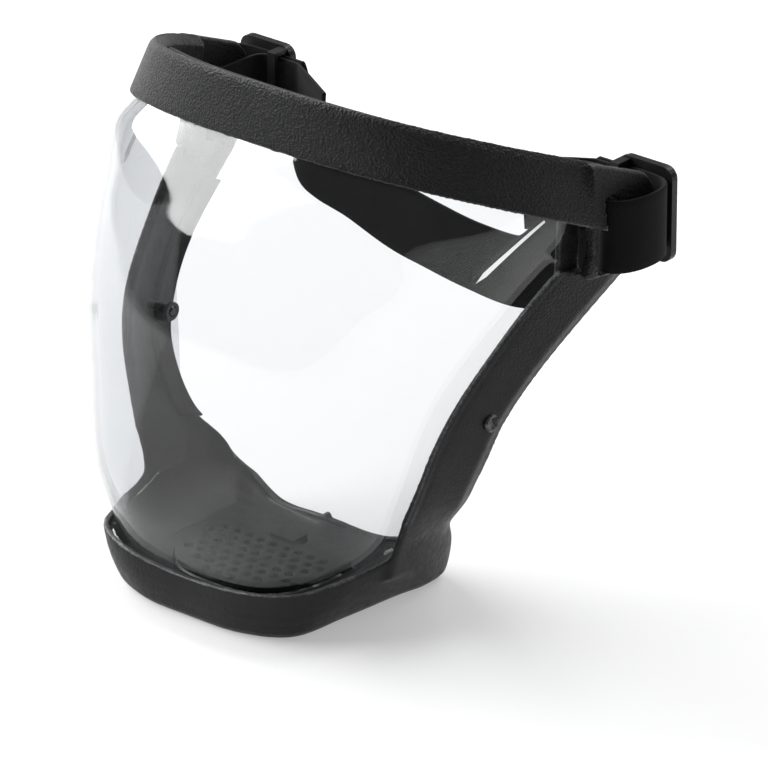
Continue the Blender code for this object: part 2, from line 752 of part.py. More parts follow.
black_plastic = (0.030, 0.031, 0.033)
build_band(make_material("band_plastic", black_plastic, 0.55))
build_pad(make_material("pad_foam", (0.05, 0.05, 0.052), 0.95))
build_lens(make_material("clear_visor", (0.95, 0.96, 0.97), 0.04, 1.0, 1.0))
build_cup(make_material("cup_plastic", black_plastic, 0.5))
build_filter(make_material("filter_felt", (0.86, 0.86, 0.85), 0.9))
build_grille(make_material("grille_plastic", (0.045, 0.055, 0.052), 0.5))
build_run(make_material("webbing", (0.028, 0.029, 0.031), 0.9))
for label, direction in SIDES:
    build_arm(label, direction, make_material(f"arm_plastic_{label}", black_plastic, 0.5))
    build_seal(label, direction, make_material(f"seal_rubber_{label}", (0.035, 0.035, 0.036), 0.7))
    build_temple(label, direction, make_material(f"temple_plastic_{label}", black_plastic, 0.55))
    build_rivet(label, direction, make_material(f"rivet_steel_{label}", (0.09, 0.09, 0.095), 0.35),
                make_material(f"washer_nylon_{label}", (0.06, 0.06, 0.062), 0.5))
    build_loop(label, direction, make_material(f"loop_webbing_{label}", (0.028, 0.029, 0.031), 0.9))
    build_tail(label, direction, make_material(f"tail_webbing_{label}", (0.028, 0.029, 0.031), 0.9))
    build_buckle(label, direction, make_material(f"buckle_plastic_{label}", black_plastic, 0.4))
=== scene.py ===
"""Studio scene of the full-face shield, in the frame of its solid model.

The moulded frame is rebuilt here as one continuous piece, and the visor, webbing, pads, seals and
rivets as finished pieces.  Slides, vent grille and washers keep the solid model's shapes.
Dimensions are millimetres in the model's frame and are scaled to metres as meshes are made.
"""

import math

import bmesh
import bpy
import numpy as np
from mathutils import Matrix, Vector


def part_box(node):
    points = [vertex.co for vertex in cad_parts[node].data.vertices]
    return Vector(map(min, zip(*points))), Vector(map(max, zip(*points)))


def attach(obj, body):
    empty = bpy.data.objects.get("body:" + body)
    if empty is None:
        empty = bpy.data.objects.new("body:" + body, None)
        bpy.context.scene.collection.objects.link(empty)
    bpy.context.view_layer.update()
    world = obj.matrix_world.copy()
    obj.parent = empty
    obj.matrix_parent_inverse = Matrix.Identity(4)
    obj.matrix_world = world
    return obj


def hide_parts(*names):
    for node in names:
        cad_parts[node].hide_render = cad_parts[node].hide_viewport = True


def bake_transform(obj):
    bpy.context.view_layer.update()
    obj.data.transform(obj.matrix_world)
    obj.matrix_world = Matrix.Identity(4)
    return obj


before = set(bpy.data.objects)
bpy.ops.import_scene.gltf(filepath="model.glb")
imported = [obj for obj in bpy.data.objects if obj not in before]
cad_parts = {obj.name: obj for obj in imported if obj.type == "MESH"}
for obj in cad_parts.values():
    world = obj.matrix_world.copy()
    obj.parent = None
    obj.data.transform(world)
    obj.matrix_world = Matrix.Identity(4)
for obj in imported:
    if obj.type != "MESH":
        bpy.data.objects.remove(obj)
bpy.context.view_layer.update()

MM = 0.001
SIDES = (("left", -1), ("right", 1))

# Moulded frame: brow band between two edge curves, arms between a front and a rear edge, cup.
BAND_TOP = dict(width=87.5, depth=93.6, power=2.31, front=-35.6, height=174.4, pitch=0.376, sag=0.0003)
BAND_LOW = dict(width=88.9, depth=71.9, power=2.36, front=-38.2, height=154.0, pitch=0.363, sag=0.0007)
BAND_WALL = 5.0
BAND_PROFILE = [
    (0.0, 1.5), (0.03, 0.9), (0.06, 0.35), (0.10, 0.05), (0.2, 0.0), (0.4, 0.0), (0.6, 0.0), (0.8, 0.0),
    (0.94, 0.0), (0.97, 0.2), (1.0, 0.6),
]
BAND_END_Y = 33.0
ARM_FRONT = [
    (51.6, -32.0, 14.0), (54.1, -31.0, 25.3), (60.9, -28.6, 45.3), (66.9, -25.4, 64.8),
    (71.6, -17.3, 80.8), (76.6, 1.2, 100.4), (79.9, 14.0, 111.0), (81.2, 18.5, 113.8),
]
ARM_REAR = [
    (45.4, 5.6, 10.0), (48.6, 4.8, 21.5), (60.1, -2.3, 33.2), (69.5, -3.0, 51.4),
    (73.7, 2.1, 66.2), (78.4, 16.9, 82.9), (83.0, 46.0, 102.7), (84.4, 50.5, 105.8),
]
ARM_WALL = 2.6
ARM_UP = (0.2, 0.55, 0.8)
ARM_SECTION = [
    (0.0, 0.0), (0.05, 0.5), (0.10, 0.15), (0.15, 0.6), (0.3, 1.0), (0.48, 1.35), (0.64, 1.65),
    (0.73, 1.85), (0.78, 1.5), (0.88, 0.35), (1.0, -0.8),
]
CUP_FLOOR = [
    (0.0, -70.2), (21.0, -68.8), (36.5, -59.5), (40.0, -38.0),
    (42.5, -15.0), (44.5, -3.0), (41.5, 7.5), (24.0, 8.0), (0.0, 4.0),
]
CUP_TOP = [
    (0.0, -71.5, 15.0), (25.0, -70.6, 16.6), (41.0, -64.2, 18.4), (47.2, -51.3, 19.6),
    (51.0, -38.5, 21.6), (53.8, -27.0, 23.4), (53.2, -12.0, 22.3), (48.6, 4.5, 19.4),
    (40.0, 6.5, 15.0), (22.0, 2.0, 9.6), (0.0, -0.4, 11.0),
]
CUP_RING = 240
CUP_RIM = 2.0
CUP_LEDGE = 1.8
TRAY_Z = 8.4
TRAY_HALF_WIDTH = 33.0
TRAY_FRONT_Y = -62.0
TRAY_REAR_Y = -8.0
CHAMBER_HALF_WIDTH = 28.3
CHAMBER_Y = (-58.8, -20.7)
CHAMBER_FLOOR_Z = 2.2
# Recess where each arm meets the band: its outline in y and z, and its depth in x.
POCKET = [(19.0, 110.5), (29.5, 107.0), (30.0, 128.0), (20.5, 132.0)]
POCKET_X = (77.4, 79.6)
# Height below which the temple is raised, and by what share of the distance.
TEMPLE_RAISE = (112.0, 0.45)
# Outward flare of the arm's foot, and the heights over which it fades away.
ARM_FOOT_OUT = 0.3
ARM_FOOT_Z = (22.0, 36.0)
# Holes in the plate under the filter chamber, in staggered rows.
HOLE_RADIUS = 1.6
HOLE_PITCH = 8.0
HOLE_ROW_PITCH = 6.93
HOLE_FIRST_Y = -53.4
# Voxel size and smoothing of the moulding, and the heights in metres over which its grain grows.
MOULD_VOXEL = 0.55
MOULD_SMOOTH = 7
MELT_STEPS = 60
GRAIN_RISE = (0.08, 0.125)

# Visor: front centre line, rear edge and squareness in plan, level by level.
LENS_CENTRE = [
    (-68.7, 13.5), (-73.2, 40.0), (-71.2, 66.0), (-66.8, 92.0),
    (-59.0, 117.0), (-51.5, 133.0), (-44.3, 145.5), (-37.2, 153.7),
]
LENS_END = [
    (49.2, -12.0, 24.5), (55.6, -10.0, 40.0), (62.0, -4.0, 58.0), (67.2, 1.0, 74.0),
    (72.2, 10.0, 92.0), (76.2, 22.0, 105.0), (79.5, 28.5, 116.0), (81.5, 31.0, 126.0),
]
LENS_POWER = [3.0, 3.6, 3.4, 3.45, 3.5, 3.5, 3.5, 2.8]
LENS_WALL = 1.2
LENS_ROWS = 73
LENS_COLUMNS = 112
LENS_HEAD_END_Y = 31.0
LENS_HEAD_LIFT = 1.2
LENS_HEAD_INSET = 1.0
LENS_HEAD_TUCK = 6.3
LENS_FOOT_GAP = 0.3
LENS_FOOT_TUCK = 3.4
LENS_GLOSS = (0.022, 0.032)
LENS_GRAZING = 0.8
# Line in y and z where the visor's face turns into its side, along which a painted highlight strip runs, with
# the strip's width and steps.
CREASE = [(10.5, 133.6), (4.0, 131.2), (-3.0, 127.6), (-9.5, 123.8), (-15.0, 119.6)]
CREASE_WIDTH = 1.9
CREASE_STEPS = 61

# Head strap: one ribbon each side, from the middle of the run to its cut tail.
WEB_WIDTH = 25.0
WEB_THICKNESS = 1.5
WEB_MID_Z = 122.4
WEB_LOOP = [
    (62.8, 61.0), (84.0, 61.0), (91.0, 58.5), (93.6, 52.5), (93.4, 44.0), (90.8, 37.5),
    (86.5, 34.6), (82.0, 36.5), (79.6, 42.0), (79.4, 51.0), (78.4, 56.5), (74.5, 58.9), (62.8, 58.9),
]
WEB_RUN = [
    (62.3, 61.0, 122.4, 0), (55.5, 60.3, 111.0, -30), (46.0, 57.5, 95.5, -30), (35.8, 55.0, 89.0, -8),
    (19.6, 50.0, 91.8, 12), (2.0, 48.0, 95.6, 22), (-12.8, 48.0, 98.5, 27), (-30.0, 48.5, 104.0, 27),
    (-46.0, 51.5, 106.5, 36), (-55.5, 56.8, 109.5, 36), (-60.4, 60.0, 116.5, 10), (-62.3, 61.0, 122.4, 0),
]
# Distances from the middle: where the webbing twists, where it splits, and where its width stays upright.
WEB_SPLIT_X = 69.0
WEB_HOLD_X = (48.0, 60.0)
TAIL_LENGTH = 20.0
TAIL_DROP = 1.0
TAIL_LEAN = 11.5
TAIL_TILT = 4.0

# Camera and light.
CAMERA_AZIMUTH = 40.0
CAMERA_ELEVATION = 24.5
CAMERA_DISTANCE = 2.612
CAMERA_TARGET = (0.0, 0.028, 0.048)
CAMERA_LENS = 375.0


# ---------------------------------------------------------------- curves

def smooth(points, count):
    """Points at even parameters on a Catmull-Rom curve through the given ones."""
    pts = np.asarray(points, float)
    if pts.ndim == 1:
        pts = pts[:, None]
    padded = np.vstack([2 * pts[0] - pts[1], pts, 2 * pts[-1] - pts[-2]])
    return np.array([catmull(padded, value) for value in np.linspace(0, len(pts) - 1, count)])


def catmull(padded, value):
    """Point on a Catmull-Rom curve at a parameter."""
    i = min(int(value), len(padded) - 4)
    t = value - i
    a, b, c, d = padded[i:i + 4]
    return 0.5 * (2 * b + (c - a) * t + (2 * a - 5 * b + 4 * c - d) * t**2 + (3 * b - a - 3 * c + d) * t**3)


def superellipse(width, depth, power, angle):
    """Point of a superellipse: x, and distance back from its front."""
    s, c = math.sin(angle), math.cos(angle)
    x = width * math.copysign(abs(s) ** (2 / power), s)
    return x, depth * (1 - abs(c) ** (2 / power))


def band_height(edge, y):
    """Height of a band edge at a place in y."""
    back = y - edge["front"]
    return edge["height"] - edge["pitch"] * back - edge["sag"] * back**2


def band_edge(edge, angle, inset=0.0):
    """Point of a band edge at an angle from the front, moved inwards by inset."""
    x, back = superellipse(edge["width"] - inset, edge["depth"] - inset, edge["power"], angle)
    y = edge["front"] + inset + back
    return np.array([x, y, edge["height"] - edge["pitch"] * back - edge["sag"] * back**2])


def band_end_angle(edge, y):
    """Angle at which a band edge reaches a place in y."""
    part = (y - edge["front"]) / edge["depth"]
    return math.acos((1 - part) ** (edge["power"] / 2))


def mirrored(points):
    """Points mirrored in the middle plane."""
    return [(-p[0], *p[1:]) for p in points]


def closed_outline(half, count):
    """Smooth ring through a half outline and its mirror."""
    half = [tuple(p) for p in half]
    pts = np.array(half + mirrored(half)[-2:0:-1], float)
    padded = np.vstack([pts[-1], pts, pts[:2]])
    return np.array([catmull(padded, value) for value in np.linspace(0, len(pts), count, endpoint=False)])


def inset_ring(ring, amount, drop=0.0):
    """Ring moved inwards in plan and lowered."""
    after, before = np.roll(ring, -1, axis=0), np.roll(ring, 1, axis=0)
    tangent = (after - before)[:, :2]
    tangent /= np.linalg.norm(tangent, axis=1)[:, None]
    out = ring.copy()
    out[:, 0] -= amount * tangent[:, 1]
    out[:, 1] += amount * tangent[:, 0]
    out[:, 2] -= drop
    return out


def arc_resample(path, count):
    """Points evenly spaced along a path."""
    path = np.asarray(path, float)
    run = np.r_[0, np.cumsum(np.linalg.norm(np.diff(path, axis=0), axis=1))]
    want = np.linspace(0, run[-1], count)
    return np.stack([np.interp(want, run, path[:, k]) for k in range(path.shape[1])], axis=1)


# ---------------------------------------------------------------- meshes

def mesh_object(name, points, faces):
    """Mesh object from points in millimetres and faces."""
    mesh = bpy.data.meshes.new(name)
    mesh.from_pydata([tuple(MM * float(c) for c in p) for p in points], [], faces)
    mesh.update()
    obj = bpy.data.objects.new(name, mesh)
    bpy.context.scene.collection.objects.link(obj)
    return obj


def recalc(obj):
    """Recalculates the faces' directions, which come out right on a skin that doesn't cross itself."""
    bm = bmesh.new()
    bm.from_mesh(obj.data)
    bmesh.ops.recalc_face_normals(bm, faces=bm.faces)
    bm.to_mesh(obj.data)
    bm.free()
    return obj


def shade(obj, degrees=40):
    """Smooth shading with sharp edges above an angle."""
    obj.data.shade_smooth()
    obj.data.set_sharp_from_angle(angle=math.radians(degrees))
    return obj


def grid_normals(rows, outward):
    """Unit normals of a grid of points, on the side that faces the outward point."""
    across = np.gradient(rows, axis=1)
    up = np.gradient(rows, axis=0)
    normal = np.cross(across, up)
    normal /= np.maximum(np.linalg.norm(normal, axis=2), 1e-9)[..., None]
    middle = rows[rows.shape[0] // 2, rows.shape[1] // 2]
    if np.dot(normal[rows.shape[0] // 2, rows.shape[1] // 2], np.array(outward) - middle) < 0:
        normal = -normal
    return normal


def shell_parts(rows, wall, outward):
    """Closed skin of a surface given a wall on its inner side: points and faces."""
    rows = np.asarray(rows, float)
    inner = rows - grid_normals(rows, outward) * np.asarray(wall, float)
    r_count, c_count = rows.shape[:2]
    points = [tuple(p) for p in rows.reshape(-1, 3)] + [tuple(p) for p in inner.reshape(-1, 3)]
    half = r_count * c_count
    faces = []
    for r in range(r_count - 1):
        for c in range(c_count - 1):
            a = r * c_count + c
            quad = (a, a + 1, a + c_count + 1, a + c_count)
            faces.append(quad)
            faces.append(tuple(half + k for k in reversed(quad)))
    border = [c for c in range(c_count)]
    border += [r * c_count + c_count - 1 for r in range(1, r_count)]
    border += [(r_count - 1) * c_count + c for c in range(c_count - 2, -1, -1)]
    border += [r * c_count for r in range(r_count - 2, 0, -1)]
    for k, a in enumerate(border):
        b = border[(k + 1) % len(border)]
        faces.append((b, a, half + a, half + b))
    return points, faces


def shell(name, rows, wall, outward):
    """Closed shell object from a grid of points and a wall."""
    return recalc(mesh_object(name, *shell_parts(rows, wall, outward)))


def ring_solid(name, rings, closed=True):
    """Skin through rings of equal length.  closed joins the last ring to the first."""
    count = len(rings[0])
    points = [tuple(p) for ring in rings for p in ring]
    faces = []
    levels = len(rings) if closed else len(rings) - 1
    for level in range(levels):
        after = (level + 1) % len(rings)
        for k in range(count):
            nxt = (k + 1) % count
            faces.append((level * count + k, level * count + nxt, after * count + nxt, after * count + k))
    if not closed:
        faces.append(tuple(range(count))[::-1])
        faces.append(tuple(range((len(rings) - 1) * count, len(rings) * count)))
    return recalc(mesh_object(name, points, faces))


def node_copy(name, node):
    """Copy of a solid's mesh, to be worked into another piece."""
    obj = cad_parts[node].copy()
    obj.data = obj.data.copy()
    obj.name = name
    obj.parent = None
    obj.matrix_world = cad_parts[node].matrix_world
    bpy.context.scene.collection.objects.link(obj)
    return obj


def apply_modifiers(obj):
    """Makes the evaluated mesh the object's own."""
    graph = bpy.context.evaluated_depsgraph_get()
    graph.update()
    mesh = bpy.data.meshes.new_from_object(obj.evaluated_get(graph))
    old = obj.data
    obj.modifiers.clear()
    obj.data = mesh
    bpy.data.meshes.remove(old)
    return obj


def join(name, objects):
    """One mesh object out of several, all placed in the row frame."""
    bm = bmesh.new()
    for obj in objects:
        mesh = obj.data.copy()
        mesh.transform(obj.matrix_world)
        bm.from_mesh(mesh)
        bpy.data.meshes.remove(mesh)
        bpy.data.objects.remove(obj)
    mesh = bpy.data.meshes.new(name)
    bm.to_mesh(mesh)
    bm.free()
    out = bpy.data.objects.new(name, mesh)
    bpy.context.scene.collection.objects.link(out)
    return out


def round_edges(obj, width, segments=2, angle=40):
    """Bevel on the sharp edges."""
    edge = obj.modifiers.new("Edge", "BEVEL")
    edge.width = width * MM
    edge.segments = segments
    edge.limit_method = "ANGLE"
    edge.angle_limit = math.radians(angle)
    return obj


# ---------------------------------------------------------------- materials

class Nodes:
    """Short way to write a node tree."""

    def __init__(self, name):
        self.material = bpy.data.materials.new(name)
        self.material.use_nodes = True
        self.tree = self.material.node_tree
        self.shader = self.tree.nodes["Principled BSDF"]
        self.output = self.tree.nodes["Material Output"]

    def add(self, kind, inputs=None, **settings):
        """New node with its inputs and settings."""
        node = self.tree.nodes.new(kind)
        for key, value in settings.items():
            setattr(node, key, value)
        for key, value in (inputs or {}).items():
            self.feed(node.inputs[key], value)
        return node

    def feed(self, socket, value):
        """Links a socket or sets a value."""
        if isinstance(value, bpy.types.NodeSocket):
            self.tree.links.new(value, socket)
        else:
            socket.default_value = value

    def math(self, operation, a, b=0.0, clamp=False):
        """Math node's result."""
        node = self.add("ShaderNodeMath", operation=operation, use_clamp=clamp)
        self.feed(node.inputs[0], a)
        self.feed(node.inputs[1], b)
        return node.outputs[0]

    def ramp(self, value, low, high, a, b):
        """Maps value from low..high to a..b."""
        node = self.add("ShaderNodeMapRange")
        for key, number in (("From Min", low), ("From Max", high), ("To Min", a), ("To Max", b)):
            node.inputs[key].default_value = number
        self.feed(node.inputs["Value"], value)
        return node.outputs["Result"]

    def mix(self, factor, a, b):
        """Colour mixed by a factor."""
        node = self.add("ShaderNodeMix", data_type="RGBA")
        self.feed(node.inputs[0], factor)
        self.feed(node.inputs[6], a)
        self.feed(node.inputs[7], b)
        return node.outputs[2]

    def noise(self, scale, detail=3.0, roughness=0.5, vector=None):
        """Noise value."""
        node = self.add("ShaderNodeTexNoise", {"Scale": scale, "Detail": detail, "Roughness": roughness})
        self.feed(node.inputs["Vector"], vector or self.place())
        return node.outputs["Fac"]

    def place(self):
        """Object coordinates."""
        return self.add("ShaderNodeTexCoord").outputs["Object"]

    def bump(self, height, strength, distance):
        """Bump on the shader from a height."""
        node = self.add("ShaderNodeBump", {"Strength": strength, "Distance": distance, "Height": height})
        self.feed(self.shader.inputs["Normal"], node.outputs["Normal"])


def rgb(r, g, b):
    """Opaque colour."""
    return (r, g, b, 1.0)


def moulded_plastic(name, dark, light, grain=0.85, roughness=(0.36, 0.5), pebble=1200.0, wear_and_highlight=0.0):
    """Black moulding: leather grain, strongest at the brow, slight bloom, and paler rims that are partly rubbed
    and partly a painted highlight.
    """
    n = Nodes(name)
    cells = n.add("ShaderNodeTexVoronoi", {"Scale": pebble, "Randomness": 1.0}, feature="F1")
    n.feed(cells.inputs["Vector"], n.place())
    fine = n.noise(2600.0, 4.0)
    bloom = n.noise(28.0, 3.0)
    # Rims found by pointiness are mixed towards a pale grey: partly rubbed plastic, partly a painted highlight
    # where the top rim catches the light.
    edge = n.ramp(n.add("ShaderNodeNewGeometry").outputs["Pointiness"], 0.52, 0.58, 0.0, wear_and_highlight)
    scuffed_and_highlit = n.math("MULTIPLY", edge, n.ramp(n.noise(160.0, 4.0), 0.35, 0.7, 0.3, 1.0))
    body = n.mix(n.ramp(bloom, 0.3, 0.7, 0.0, 1.0), dark, light)
    worn_and_highlit = n.mix(scuffed_and_highlit, body, rgb(0.30, 0.305, 0.31))
    n.feed(n.shader.inputs["Base Color"], worn_and_highlit)
    rough = n.ramp(n.noise(420.0, 4.0), 0.3, 0.7, roughness[0], roughness[1])
    n.feed(n.shader.inputs["Roughness"], rough)
    height = n.math("ADD", n.math("MULTIPLY", cells.outputs["Distance"], 0.7), n.math("MULTIPLY", fine, 0.5))
    up = n.add("ShaderNodeSeparateXYZ", {"Vector": n.place()}).outputs["Z"]
    n.bump(n.math("MULTIPLY", height, n.ramp(up, GRAIN_RISE[0], GRAIN_RISE[1], 0.2, 1.0)), grain, 0.0007)
    n.shader.inputs["Specular IOR Level"].default_value = 0.22
    return n.material


def woven(name, dark, light, rib=0.0011):
    """Narrow elastic webbing: ribs along its length and picks across it, read from the ribbon's UVs."""
    n = Nodes(name)
    uv = n.add("ShaderNodeUVMap", uv_map="Ribbon").outputs["UV"]
    split = n.add("ShaderNodeSeparateXYZ", {"Vector": uv})
    along, across = split.outputs["X"], split.outputs["Y"]
    ribs = n.math("SINE", n.math("MULTIPLY", across, 2 * math.pi / rib))
    row = n.math("MULTIPLY", n.math("SIGN", ribs), 0.5 * math.pi)
    picks = n.math("SINE", n.math("ADD", n.math("MULTIPLY", along, 2 * math.pi / (rib * 0.9)), row))
    weave = n.math("ADD", n.math("MULTIPLY", n.math("ABSOLUTE", ribs), 0.6), n.math("MULTIPLY", picks, 0.4))
    fuzz = n.noise(1900.0, 5.0, 0.7)
    height = n.math("ADD", weave, n.math("MULTIPLY", fuzz, 0.7))
    n.bump(height, 0.25, 0.00016)
    patch = n.noise(60.0, 3.0)
    tone = n.math("MULTIPLY", n.ramp(weave, -0.2, 1.0, 0.1, 0.8), n.ramp(patch, 0.3, 0.7, 0.6, 1.0))
    n.feed(n.shader.inputs["Base Color"], n.mix(tone, dark, light))
    n.feed(n.shader.inputs["Roughness"], n.ramp(fuzz, 0.3, 0.7, 0.78, 0.95))
    n.shader.inputs["Sheen Weight"].default_value = 0.04
    n.shader.inputs["Sheen Roughness"].default_value = 0.5
    n.shader.inputs["Specular IOR Level"].default_value = 0.1
    return n.material


def foam(name, dark, light, pore=900.0, depth=0.0003):
    """Soft open-cell foam, felt or rubber skin, by its pore size."""
    n = Nodes(name)
    cells = n.add("ShaderNodeTexVoronoi", {"Scale": pore}, feature="SMOOTH_F1")
    n.feed(cells.inputs["Vector"], n.place())
    fuzz = n.noise(pore * 2.2, 5.0, 0.7)
    n.bump(n.math("ADD", cells.outputs["Distance"], n.math("MULTIPLY", fuzz, 0.6)), 0.6, depth)
    tone = n.ramp(n.math("ADD", n.noise(70.0), n.math("MULTIPLY", fuzz, 0.4)), 0.45, 0.95, 0.0, 1.0)
    n.feed(n.shader.inputs["Base Color"], n.mix(tone, dark, light))
    n.feed(n.shader.inputs["Roughness"], n.ramp(fuzz, 0.3, 0.7, 0.8, 0.97))
    return n.material


def steel(name, dark, light):
    """Blackened metal with fine turning marks and bright rubbed spots."""
    n = Nodes(name)
    scratches = n.noise(700.0, 6.0, 0.7)
    n.bump(scratches, 0.2, 0.0001)
    n.feed(n.shader.inputs["Base Color"], n.mix(n.ramp(scratches, 0.4, 0.75, 0.0, 1.0), dark, light))
    n.feed(n.shader.inputs["Roughness"], n.ramp(n.noise(300.0), 0.3, 0.7, 0.28, 0.45))
    n.shader.inputs["Metallic"].default_value = 0.7
    return n.material


def clear_sheet(name):
    """Polished polycarbonate: a see-through sheet with a gloss that grows towards grazing views."""
    n = Nodes(name)
    hairlines = n.noise(260.0, 6.0, 0.75)
    n.bump(n.noise(26.0, 2.0), 0.05, 0.0002)
    clear = n.add("ShaderNodeBsdfTransparent", {"Color": rgb(0.872, 0.878, 0.884)})
    facing = n.add("ShaderNodeLayerWeight", {"Blend": 0.5}).outputs["Facing"]
    grazing = n.math("MULTIPLY", n.math("POWER", facing, 4.0), LENS_GRAZING)
    haze = n.ramp(hairlines, 0.3, 0.8, LENS_GLOSS[0], LENS_GLOSS[1])
    fac = n.math("ADD", grazing, haze, clamp=True)
    shine = n.add("ShaderNodeBsdfGlossy", {"Color": rgb(1.0, 1.0, 1.0)})
    n.feed(shine.inputs["Roughness"], n.ramp(hairlines, 0.35, 0.8, 0.03, 0.08))
    mixed = n.add("ShaderNodeMixShader")
    n.feed(mixed.inputs[0], fac)
    n.feed(mixed.inputs[1], clear.outputs[0])
    n.feed(mixed.inputs[2], shine.outputs[0])
    n.feed(n.output.inputs["Surface"], mixed.outputs[0])
    n.tree.nodes.remove(n.shader)
    return n.material


# ---------------------------------------------------------------- moulded frame

def band_solid():
    """Brow band between its two edges, with both rims eased."""
    ends = band_end_angle(BAND_TOP, BAND_END_Y), band_end_angle(BAND_LOW, BAND_END_Y)
    rows = []
    for level, inset in BAND_PROFILE:
        row = []
        for part in np.linspace(-1, 1, 181):
            top, low = band_edge(BAND_TOP, part * ends[0], inset), band_edge(BAND_LOW, part * ends[1], inset)
            row.append(top + (low - top) * level)
        rows.append(row)
    return shell("band", rows, BAND_WALL, (0, -500, 160))


def arm_solid(sign):
    """Side arm between its front and rear edges."""
    rows = []
    for front, rear in zip(smooth(ARM_FRONT, 71), smooth(ARM_REAR, 71)):
        across = rear - front
        normal = np.cross(ARM_UP, across)
        normal *= math.copysign(1.0, normal[0]) / np.linalg.norm(normal)
        rise = (ARM_FOOT_Z[1] - front[2]) / (ARM_FOOT_Z[1] - ARM_FOOT_Z[0])
        flare = ARM_FOOT_OUT * min(max(rise, 0.0), 1.0)
        row = [front + across * part + normal * (out + flare) for part, out in ARM_SECTION]
        rows.append([(sign * p[0], p[1], p[2]) for p in arc_resample(row, 27)])
    return shell("arm", rows, ARM_WALL, (sign * 500, 0, 60))


def chamber_ring(tray, z):
    """Chamber outline, D shaped, with a point in the direction of each point of the tray's ring."""
    middle = np.array([0.0, -34.0])
    depth = -26.7 - CHAMBER_Y[0]
    outline = []
    for k in range(97):
        x, back = superellipse(CHAMBER_HALF_WIDTH, depth, 2.9, math.radians(-90 + 180 * k / 96))
        outline.append((x, CHAMBER_Y[0] + back))
    outline += [(CHAMBER_HALF_WIDTH, CHAMBER_Y[1]), (-CHAMBER_HALF_WIDTH, CHAMBER_Y[1])]
    outline = arc_resample(outline + outline[:1], 1200)
    heading = np.arctan2(*(outline - middle).T)
    out = np.empty_like(tray)
    for k, point in enumerate(tray):
        want = math.atan2(*(point[:2] - middle))
        gap = np.abs(np.angle(np.exp(1j * (heading - want))))
        out[k] = (*outline[int(gap.argmin())], z)
    return out


def cup_solid():
    """Chin cup with an open chamber through its floor."""
    floor = closed_outline([(x, y, 0.0) for x, y in CUP_FLOOR], CUP_RING)
    top = closed_outline(CUP_TOP, CUP_RING)
    wall = []
    for part in (0.12, 0.25, 0.45, 0.65, 0.85):
        ring = floor + (top - floor) * part
        ring[:, :2] += (ring - inset_ring(ring, 1.2 * math.sin(math.pi * part)))[:, :2]
        wall.append(ring)
    ledge = inset_ring(top, CUP_RIM, CUP_LEDGE)
    ledge[:, 2] = np.maximum(ledge[:, 2], TRAY_Z + 0.2)
    tray = ledge.copy()
    tray[:, 0] = np.clip(ledge[:, 0] * 0.72, -TRAY_HALF_WIDTH, TRAY_HALF_WIDTH)
    tray[:, 1] = np.clip(ledge[:, 1], TRAY_FRONT_Y, TRAY_REAR_Y)
    tray[:, 2] = TRAY_Z
    slope = ledge + (tray - ledge) * 0.55
    slope[:, 2] = TRAY_Z + (ledge[:, 2] - TRAY_Z) * 0.22
    high = ledge + (tray - ledge) * 0.25
    high[:, 2] = TRAY_Z + (ledge[:, 2] - TRAY_Z) * 0.62
    rings = [inset_ring(floor, 1.2), *wall, top, inset_ring(top, CUP_RIM), ledge, high, slope, tray]
    rings += [chamber_ring(tray, TRAY_Z), chamber_ring(tray, 0.0)]
    return ring_solid("cup", rings)


def rim_nub():
    """Small pip in the middle of the cup's rear rim."""
    bm = bmesh.new()
    place = Matrix.Translation((0, -0.4 * MM, 11.2 * MM)) @ Matrix.Diagonal((1.4, 1.0, 1.1, 1.0))
    bmesh.ops.create_uvsphere(bm, u_segments=20, v_segments=12, radius=1.0 * MM, matrix=place)
    mesh = bpy.data.meshes.new("nub")
    bm.to_mesh(mesh)
    bm.free()
    obj = bpy.data.objects.new("nub", mesh)
    bpy.context.scene.collection.objects.link(obj)
    return obj


def moulding():
    """The whole frame as one skin: solids merged by a voxel remesh, then eased like a moulding."""
    solids = [band_solid(), cup_solid(), rim_nub()]
    for side, sign in SIDES:
        solids.append(arm_solid(sign))
        temple = node_copy(f"temple_{side}_core", f"temple_{side}")
        for vertex in temple.data.vertices:
            vertex.co.z += max(TEMPLE_RAISE[0] * MM - vertex.co.z, 0.0) * TEMPLE_RAISE[1]
        solids.append(temple)
        rings = [np.array([(sign * x, y, z) for y, z in POCKET]) for x in POCKET_X]
        solids.append(ring_solid("pocket", rings, closed=False))
    for obj in solids:
        if obj.modifiers:
            apply_modifiers(obj)
    frame_piece = join("moulded_frame", solids)
    remesh = frame_piece.modifiers.new("Union", "REMESH")
    remesh.mode = "VOXEL"
    remesh.voxel_size = MOULD_VOXEL * MM
    ease = frame_piece.modifiers.new("Ease", "SMOOTH")
    ease.factor = 0.5
    ease.iterations = MOULD_SMOOTH
    apply_modifiers(frame_piece)
    melt_joins(frame_piece.data)
    frame_piece.data.shade_smooth()
    return frame_piece


def melt_joins(mesh):
    """Eases the skin where the arms run into the cup, so the two flow into each other."""
    points = np.empty(len(mesh.vertices) * 3)
    mesh.vertices.foreach_get("co", points)
    points = points.reshape(-1, 3)
    edges = np.empty(len(mesh.edges) * 2, dtype=np.int64)
    mesh.edges.foreach_get("vertices", edges)
    a, b = edges.reshape(-1, 2).T
    x, y, z = np.abs(points[:, 0]) / MM, points[:, 1] / MM, points[:, 2] / MM
    weight = np.clip((x - 36) / 5, 0, 1) * np.clip((y + 46) / 8, 0, 1) * np.clip((36 - z) / 8, 0, 1)
    weight *= np.clip((z - 4) / 5, 0, 1) * 0.5
    count = np.bincount(a, minlength=len(points)) + np.bincount(b, minlength=len(points))
    for _ in range(MELT_STEPS):
        for axis in range(3):
            column = points[:, axis]
            total = np.bincount(a, column[b], len(points)) + np.bincount(b, column[a], len(points))
            points[:, axis] = column + weight * (total / count - column)
    mesh.vertices.foreach_set("co", points.ravel())
    mesh.update()


